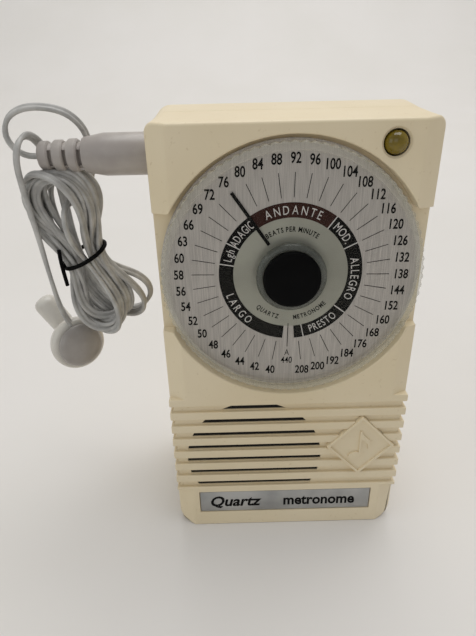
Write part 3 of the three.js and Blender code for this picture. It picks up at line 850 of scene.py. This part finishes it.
DOOR_LOW, DOOR_HIGH, DOOR_HALF = 3.2, 29.8, 26.7
SCREW_PLACES = [at(x, 0, z) for x, z in ((-11, 107.8), (11, 107.8), (-27.2, 38), (27.2, 38))]
SWITCH_Y, SWITCH_Z, SWITCH_TRAVEL = 9.5, 88.0, 5.0
DOOR_PLAY = 0.3


def rear_shell():
    shell = case_block("rear_housing", 0, [(-30, 4), (BACK, 4)])
    boolean(shell, [levels(SEAM + SEAM_GAP, 2 * FAR)], "INTERSECT")
    softened(shell, 1.2, 4, 40, lambda place: float(place.y > BACK - 0.1))
    cavity = boolean(
        case_block("cavity", WALL, [(-30, 4), (BACK - WALL, 4)]), [levels(SEAM, 2 * FAR)], "INTERSECT")
    boolean(shell, [cavity])
    boolean(shell, [
        box("shelf", (-31, 31), (6, BACK - 1), (30.6, 31.8)),
        *[disc_at("post", 3, 10, BACK - 1, place, 24) for place in SCREW_PLACES],
    ], "UNION")
    boolean(shell, [
        box("door_opening", (-DOOR_HALF - DOOR_PLAY, DOOR_HALF + DOOR_PLAY), (BACK - WALL - 1, FAR),
            (DOOR_LOW - DOOR_PLAY, DOOR_HIGH + DOOR_PLAY)),
        *[disc_at("screw_well", 2.6, BACK - 2.2, FAR, place, 32) for place in SCREW_PLACES],
        box("switch_slot", (28, FAR), (SWITCH_Y - 1.8, SWITCH_Y + 1.8),
            (SWITCH_Z - 2.3, SWITCH_Z + SWITCH_TRAVEL + 2.3)),
        jack_hole(),
    ])
    finished(shaded(shell), "case", CREAM, ["rear_shell"])


def battery_door():
    """A flap with a rounded hinge edge, and a thumb pad of fine ridges at its top."""
    round_edge = 0.9
    y = BACK - round_edge
    outline = [*arc(y, DOOR_LOW + round_edge, round_edge, -180, 0, 9),
               (BACK, DOOR_HIGH), (y - round_edge, DOOR_HIGH)]
    door = across("battery_door_panel", outline, -DOOR_HALF, DOOR_HALF)
    softened(door, 0.3, 2, 40, lambda place: float(place.z > DOOR_LOW + 2))
    boolean(door, [prism("thumb_pad", rounded(-8, 8, 20.5, 28, 1.5, 1.5), BACK - 0.7, FAR)])
    root, crest = BACK - 0.8, BACK - 0.15
    boolean(door, [
        across("ridge", [(root, z), (crest, z + 0.35), (crest, z + 0.55), (root, z + 0.9)], -6.8, 6.8)
        for z in np.arange(21.3, 27, 1.15)], "UNION")
    finished(shaded(door), "door", CREAM, ["battery_door"])


def case_screw(i, place):
    """A pan-headed screw with a cross in its head."""
    top = BACK - 0.5
    head = turned(f"rear_screw_{i}", [
        (0, top - 13.5), (1.2, top - 13), (1.2, top - 1.6), (2.3, top - 1.6), (2.35, top - 0.9),
        (2.1, top - 0.35), (1.4, top - 0.08), (0, top)], place, 32)
    turn = Matrix.Rotation(0.5 + i, 4, "Y")
    long, deep, short = (-1.5, 1.5), (top - 0.9, top + 1), (-0.28, 0.28)
    boolean(head, [box("cross", *sides, place @ turn)
                   for sides in ((long, deep, short), (short, deep, long))])
    finished(shaded(head), "case", STEEL, [f"case_screw_{i}"])


front_shell()
speaker_cloth()
rear_shell()
battery_door()
for number, screw_place in enumerate(SCREW_PLACES, 1):
    case_screw(number, screw_place)

# ---------- lettering ----------

ASPECT = 0.74  # of the condensed letters
WORD_SPACE, LETTER_GAP = 0.45, 0.22  # as parts of a capital's height


def outline_letters(text, bold=0.0, slant=0.0):
    """Flat letters from the built-in typeface: points about (0, 0) with capitals 1 high, and faces."""
    def flat(body):
        curve = bpy.data.curves.new("letters", "FONT")
        curve.body = body
        curve.offset = bold
        curve.resolution_u = 3
        obj = link("letters", curve)
        graph = bpy.context.evaluated_depsgraph_get()
        graph.update()
        mesh = bpy.data.meshes.new_from_object(obj.evaluated_get(graph))
        points = np.array([v.co[:2] for v in mesh.vertices])
        faces = [list(p.vertices) for p in mesh.polygons]
        bpy.data.objects.remove(obj)
        bpy.data.meshes.remove(mesh)
        points[:, 0] += slant * points[:, 1]
        return points, faces
    capital = flat("H")[0]
    height = np.ptp(capital[:, 1])
    points, faces = flat(text)
    middle = ((points[:, 0].min() + points[:, 0].max()) / 2,
              (capital[:, 1].min() + capital[:, 1].max()) / 2)
    return (points - middle) / height, faces


class Print:
    """Flat ink in the front's own frame, gathered into one thin mesh."""

    def __init__(self, depth):
        self.depth = depth
        self.points, self.faces = [], []

    def add(self, points, faces):
        start = len(self.points)
        self.points += [(x, self.depth, z) for x, z in points]
        self.faces += [[start + i for i in face] for face in faces]

    def letters(self, text, x, z, height, aspect=ASPECT, turn=0.0, **style):
        points, faces = outline_letters(text, **style)
        c, s = math.cos(turn), math.sin(turn)
        spots = [(px * height * aspect, pz * height) for px, pz in points]
        self.add([(x + c * px - s * pz, z + s * px + c * pz) for px, pz in spots], faces)

    def line(self, start, end, width):
        a, b = Vector(start), Vector(end)
        side = (b - a).normalized().orthogonal() * width / 2
        self.add([tuple(p) for p in (a - side, a + side, b + side, b - side)], [[0, 1, 2, 3]])

    def ring(self, inner, outer, start, end, steps=64):
        """A band between two angles, in degrees counted from +x towards +z."""
        turns = np.radians(np.linspace(start, end, steps + 1))
        points = [(r * math.cos(t), r * math.sin(t)) for r in (inner, outer) for t in turns]
        self.add(points, [[i, i + 1, steps + 2 + i, steps + 1 + i] for i in range(steps)])

    def arc_text(self, text, radius, middle, height, tops_out, spread=1.0, **style):
        """Letters one by one along a circle; middle is the angle of the text's middle, in degrees."""
        sizes = [WORD_SPACE if letter == " " else
                 np.ptp(outline_letters(letter, **style)[0][:, 0]) + LETTER_GAP for letter in text]
        run = np.cumsum([0] + sizes) * height * ASPECT * spread
        for letter, low, high in zip(text, run, run[1:]):
            shift = (low + high - run[-1]) / 2 / radius
            angle = math.radians(middle) - shift * (1 if tops_out else -1)
            turn = angle - math.pi / 2 if tops_out else angle + math.pi / 2
            if letter != " ":
                self.letters(letter, radius * math.cos(angle), radius * math.sin(angle), height,
                             ASPECT * min(1, spread), turn, **style)

    def made(self, name, body, look, place):
        obj = mesh_object(name, self.points, self.faces, place)
        work = bmesh.new()
        work.from_mesh(obj.data)
        facing = place.to_3x3() @ Vector((0, -1, 0))
        for face in work.faces:
            if face.normal.dot(facing) < 0:
                face.normal_flip()
        work.to_mesh(obj.data)
        work.free()
        finished(obj, body, look)


# ---------- dial ----------

SCALE_TURN = math.radians(-1.18)  # the scale is glued on a little crooked
SCALE = FRONT @ Matrix.Rotation(-SCALE_TURN, 4, "Y")
TEMPI = (*range(40, 60, 2), *range(60, 72, 3), *range(72, 120, 4), *range(120, 144, 6), *range(144, 209, 8))
STEP = 9.0  # degrees from one tempo to the next
TICK = (18.5, 24.05)
NUMBER_RADIUS, NUMBER_HEIGHT = 27.1, 2.4
WORD_HEIGHT, SMALL_HEIGHT = 2.0, 1.25
BAND = (13.9, 17.4)
SCALE_RADIUS = 31.3
INK_DEPTH = 0.02
POINTER = (9.2, 24.2)


def tempo_angle(tempo):
    """Degrees from +x towards +z; places between two printed tempi are shared out evenly."""
    return -90 - STEP * (1 + float(np.interp(tempo, TEMPI, range(len(TEMPI)))))


def polar(radius, degrees):
    return radius * math.cos(math.radians(degrees)), radius * math.sin(math.radians(degrees))


def scale_plate():
    """The silver scale with its ticks, numbers and tempo words, each ink a thin mesh of its own."""
    plate = turned("tempo_scale", [
        (4.4, 0), (SCALE_RADIUS - 0.1, 0), (SCALE_RADIUS, 0.1), (SCALE_RADIUS, 0.7), (4.4, 0.7), (4.4, 0)],
        SCALE, 128)
    finished(shaded(plate), "case", SILVER, ["scale_plate"])
    centre = Print(-INK_DEPTH)
    centre.ring(4.5, BAND[0], 0, 360, 96)
    centre.made("scale_centre", "case", PALE_SILVER, SCALE)

    ink = Print(-2 * INK_DEPTH)
    for tempo in TEMPI:
        angle = tempo_angle(tempo)
        ink.line(polar(TICK[0], angle), polar(TICK[1], angle), 0.16)
        x, z = polar(NUMBER_RADIUS, angle)
        ink.letters(str(tempo), x, z, NUMBER_HEIGHT, bold=0.022)
    ink.line((0, -13.2), (0, -19.9), 0.2)
    ink.letters("A", 0, -21.6, 1.7)
    ink.letters("440", 0, -23.9, 1.9, bold=0.01)
    for start, end in ((40, 60), (60, 76), (108, 208)):
        high, low = tempo_angle(start), tempo_angle(end)
        ink.ring(*BAND, high + (4.5 if start == 40 else 0), low - (3.5 if end == 208 else 0))
    for words, radius, middle, out in (
        ("QUARTZ", 11.5, -118, False), ("METRONOME", 11.5, -62, False), ("BEATS PER MINUTE", 11.2, 90, True),
    ):
        ink.arc_text(words, radius, middle, SMALL_HEIGHT, out, bold=0.03)
    ink.made("scale_ink", "case", INK, SCALE)

    brown = Print(-2 * INK_DEPTH)
    brown.ring(*BAND, tempo_angle(76), tempo_angle(108))
    brown.made("scale_andante_band", "case", BROWN_INK, SCALE)

    light = Print(-3 * INK_DEPTH)
    for tempo in (60, 66, 76, 108, 120, 168, 204):
        angle = tempo_angle(tempo)
        light.line(polar(BAND[0], angle), polar(BAND[1], angle), 0.25)
    for word, start, end, out, spread in (
        ("LARGO", 42, 58, False, 1.2), ("Lgh", 60, 66, True, 0.9), ("ADAGIO", 66, 76, True, 0.8),
        ("ANDANTE", 76, 108, True, 1.25), ("MOD.", 108, 120, True, 0.95), ("ALLEGRO", 120, 168, True, 1.1),
        ("PRESTO", 168, 204, False, 0.9),
    ):
        middle = (tempo_angle(start) + tempo_angle(end)) / 2
        light.arc_text(word, sum(BAND) / 2, middle, WORD_HEIGHT, out, spread)
    light.made("scale_words", "case", WHITE_INK, SCALE)


TEETH, SCALLOP = 88, 0.55
RIM_HIGHLIGHT_RADIUS = 28.9  # the rim outside it is whiter and denser clear plastic: painted highlight
RIM_RADIUS = 30.9


def dial_wheel():
    """A clear wheel with a scalloped rim and a raised boss round the cap."""
    def scalloped(r, angle):
        return r - SCALLOP * (1 - abs(math.cos(TEETH * angle / 2))) if r > RIM_RADIUS else r
    wheel = turned("clear_wheel", [
        (3.4, -0.4), (30.3, -0.4), (30.6, -0.5), (31, -0.9), (31, -3.5), (30.6, -3.8), (30.3, -3.9),
        (29.5, -3.9), (29.2, -3.8), (29.0, -3.5), (28.6, -2.2), (28.2, -1.9), (9.0, -1.9), (8.6, -2.0),
        (8.4, -2.3), (7.8, -2.85), (7.4, -3.0), (3.4, -3.0), (3.4, -0.4),
    ], FRONT, TEETH * 6, scalloped)
    finished(shaded(wheel, 40), "dial", CLEAR, ["dial_wheel"])
    # Faces beyond the radius take the whiter, denser clear: painted highlight on the rim.
    wheel.data.materials.append(RIM_PAINTED_HIGHLIGHT)
    for face in wheel.data.polygons:
        middle = FRONT.inverted() @ (face.center / MM)
        face.material_index = int(math.hypot(middle.x, middle.z) > RIM_HIGHLIGHT_RADIUS)


def boss_collar():
    """Translucent grey ring round the cap: painted shade on the clear boss where it is seen edge-on."""
    collar = turned("boss_collar", [
        (7.0, -1.95), (8.5, -1.95), (8.5, -2.3), (7.9, -2.92), (7.5, -3.06), (7.0, -3.06), (7.0, -1.95)],
        FRONT, 128)
    finished(shaded(collar, 50), "dial", BOSS_PAINTED_SHADE)


def pointer():
    mark = Print(-0.33)
    angle = tempo_angle(76)
    mark.line(polar(POINTER[0], angle), polar(POINTER[1], angle), 0.8)
    mark.made("pointer_line", "dial", INK, SCALE)


def hub_cap():
    cap = turned("black_hub", [
        (0, -4.32), (3.2, -4.36), (5.4, -4.47), (6.2, -4.5), (6.6, -4.4), (6.83, -4.15), (6.9, -3.85),
        (6.9, -3.3), (0, -3.3)], FRONT)
    finished(shaded(cap, 50), "dial", BLACK, ["hub_cap"])


scale_plate()
dial_wheel()
boss_collar()
pointer()
hub_cap()

# ---------- lamp and trim ----------


def lamp_dome():
    dome = [(LAMP_RADIUS * math.sin(t), -5.1 + LAMP_RADIUS * (1 - math.cos(t)))
            for t in np.linspace(0, math.pi / 2, 10)]
    lens = turned("amber_lamp", [*dome, (LAMP_RADIUS, 3.4), (2.95, 3.4), (2.95, 4.6), (0, 4.6)], LAMP, 48)
    finished(shaded(lens, 50), "case", AMBER, ["lamp"])


def name_plate():
    plate = prism("foil_plate", plate_outline(0), FACE + 0.15, FACE + 0.6, FRONT)
    finished(softened(plate, 0.08, 2, 40), "case", FOIL, ["name_plate"])
    words = Print(FACE + 0.15 - INK_DEPTH)
    words.letters("Quartz", PLATE_X - 14.5, PLATE_Z, 4.0, 0.95, bold=0.03, slant=0.22)
    words.letters("metronome", PLATE_X + 10.2, PLATE_Z, 4.0, 0.82, bold=0.03)
    words.made("plate_words", "case", INK, FRONT)


def emblem():
    """A raised diamond with a rim, and a plain quaver in low relief."""
    top = FACE - 0.5
    tile = prism("diamond_tile", diamond(0), top, FACE + TILE_DEPTH - 0.3, FRONT)
    boolean(tile, [prism("sunk_field", diamond(-0.95), top - 1, top + 0.6, FRONT)])
    # the quaver's outlines, from the middle of the tile
    head = [(-1.5 + 1.645 * c - 0.408 * s, -3.3 + 0.595 * c + 1.128 * s)
            for c, s in arc(0, 0, 1, 0, 360, 24)[:-1]]
    stem = [(-0.3, -3.2), (0.2, -3.0), (0.2, 5.0), (-0.3, 5.0)]
    flag = [(-0.1, 5.0), (0.9, 3.4), (2.5, 1.9), (2.7, 0.2), (2.2, -1.2), (2.1, 0.4), (1.3, 1.6), (-0.1, 2.4)]
    boolean(tile, [
        prism("note", [(EMBLEM_X + x, EMBLEM_Z + z) for x, z in outline], top + 0.12, top + 0.9, FRONT)
        for outline in (head, stem, flag)], "UNION")
    softened(tile, 0.1, 2, 40, lambda place: float((FRONT.inverted() @ place).y < top + 0.05))
    finished(tile, "case", CREAM, ["emblem_tile"])


def mode_knob():
    knob = box("slide_knob", (27.7, 31.2), (SWITCH_Y - 1.5, SWITCH_Y + 1.5), (SWITCH_Z - 2, SWITCH_Z + 2))
    softened(knob, 0.25, 2, 40)
    boolean(knob, [
        box("ridge", (30.8, 31.85), (SWITCH_Y - 1.3, SWITCH_Y + 1.3), (z - 0.22, z + 0.22))
        for z in (SWITCH_Z + k for k in (-1.4, -0.7, 0, 0.7, 1.4))], "UNION")
    finished(shaded(knob), "mode_knob", BLACK, ["mode_switch_knob"])


lamp_dome()
name_plate()
emblem()
mode_knob()

# ---------- materials of the pieces kept from the frame ----------

KEPT = {
    STEEL: ["dial_shaft", "speaker_basket", "speaker_magnet", "mode_switch_body",
            *(f"board_screw_{i}" for i in range(1, 5))],
    NICKEL: ["lamp_leg_1", "lamp_leg_2", "quartz_crystal", "battery_stud_1", "battery_stud_2", "plug_pin"],
    BLACK: ["tempo_switch_body", "timer_chip", "filter_capacitor", "tone_transistor", "battery_clip",
            "earphone_jack"],
    BOARD: ["main_board", *(f"resistor_{i}" for i in range(1, 5))],
    CONE: ["speaker_cone"],
    JACKET: ["battery"],
}
for look, names in KEPT.items():
    for node_name in names:
        painted(frame["nodes"][node_name], look)

# ---------- stage (in metres) ----------

SWEEP_START, SWEEP_RADIUS = 0.55, 0.5


def stage():
    """A floor that curves up into a backdrop."""
    run = [(-1.5, 0.0), *arc(SWEEP_START, SWEEP_RADIUS, SWEEP_RADIUS, -90, 0, 23),
           (SWEEP_START + SWEEP_RADIUS, 3.0)]
    points = [(x, y, z) for x in (-3.0, 3.0) for y, z in run]
    n = len(run)
    faces = [(i, i + 1, n + i + 1, n + i) for i in range(n - 1)]
    mesh = bpy.data.meshes.new("backdrop")
    mesh.from_pydata(points, [], faces)
    floor = shaded(link("backdrop", mesh))
    floor.data.materials.append(
        plain_look("pale_floor", (219, 215, 209), (222, 218, 213), (0.6, 0.7), patch=8))


def lamp(name, place, target, size, power, colour=(1, 1, 1)):
    light = bpy.data.objects.new(name, bpy.data.lights.new(name, "AREA"))
    light.data.size = size
    light.data.energy = power
    light.data.color = colour
    light.location = place
    light.rotation_euler = (Vector(place) - Vector(target)).to_track_quat("Z", "Y").to_euler()
    scene.collection.objects.link(light)


def lights():
    middle = (0, 0, 0.06)
    lamp("sky", (0.15, 0.4, 1.3), middle, 1.1, 12.1)
    lamp("front", (-0.5, -1.2, 0.8), middle, 0.9, 1.5)
    lamp("window", (-1.3, -0.4, 0.5), middle, 0.8, 1.7, (0.93, 1.0, 0.97))
    world = bpy.data.worlds.new("room")
    scene.world = world
    world.use_nodes = True
    background = world.node_tree.nodes["Background"].inputs
    background["Color"].default_value = (0.95, 0.97, 1.0, 1)
    background["Strength"].default_value = 0.42


stage()
lights()
scene.view_settings.view_transform = "Standard"
